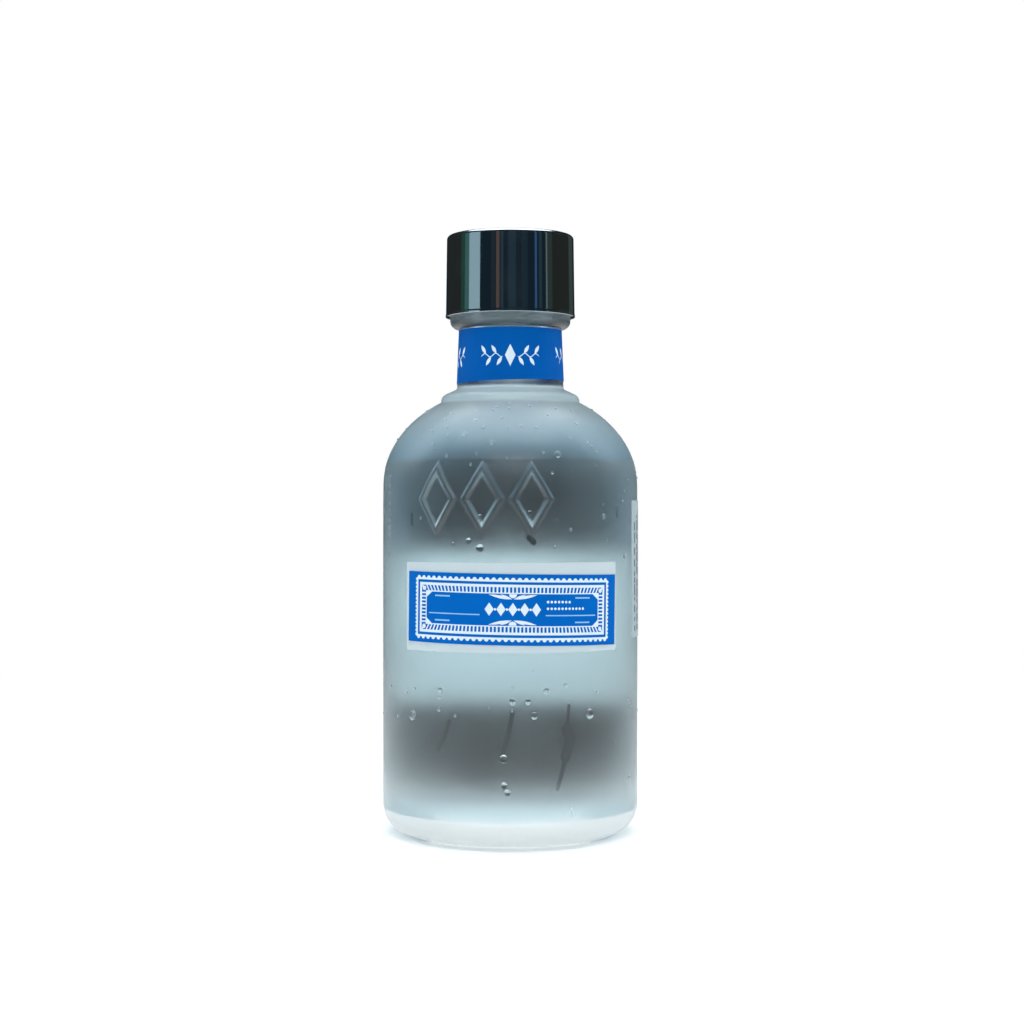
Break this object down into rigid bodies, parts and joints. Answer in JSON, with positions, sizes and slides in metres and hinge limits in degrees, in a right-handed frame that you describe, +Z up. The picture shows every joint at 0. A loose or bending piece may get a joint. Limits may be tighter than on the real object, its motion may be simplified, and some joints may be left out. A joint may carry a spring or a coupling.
{
  "type": "vodka bottle",
  "caption": "Frosted glass spirit bottle with a dome shoulder, a collar, wrapped blue neck band and label, filled with clear vodka and closed by a bright metal screw cap.",
  "frame": {"origin": "centre of the foot on the surface it stands on", "axes": "+Z up along the bottle's axis, -Y out of the front label, +X to the label's right as seen from the front"},
  "size_m": [0.0732, 0.0738, 0.1709],
  "materials": {
    "frosted_glass": "frosted, cold and wet with small drops",
    "vodka": "clear liquid",
    "blue_paper": "satin printed film, blue with white print",
    "clear_film": "milky translucent film",
    "white_paper": "matte coated paper",
    "bright_metal": "mirror bright",
    "white_plastic": "moulded, satin",
    "foam_liner": "smooth foam"
  },
  "bodies": {
    "bottle": {"glass_bottle": "frosted_glass", "vodka": "vodka", "neck_band": "blue_paper", "front_label_film": "clear_film", "front_label": "blue_paper", "side_label": "white_paper", "back_label": "white_paper"},
    "liner": {"cap_liner": "foam_liner"},
    "cap": {"cap_shell": "bright_metal", "cap_insert": "white_plastic"}
  },
  "joints": [
    {"name": "cap_rise", "type": "slide", "parent": "bottle", "child": "liner", "axis": [0, 0, 1], "range_m": [0, 0.0254]},
    {"name": "cap_turn", "type": "hinge", "parent": "liner", "child": "cap", "pos_m": [0, 0, 0.16], "axis": [0, 0, 1], "range_deg": [0, 2160]}
  ],
  "couplings": [
    {"joint": "cap_rise", "follows": "cap_turn", "m_per_rad": 0.00067323}
  ]
}
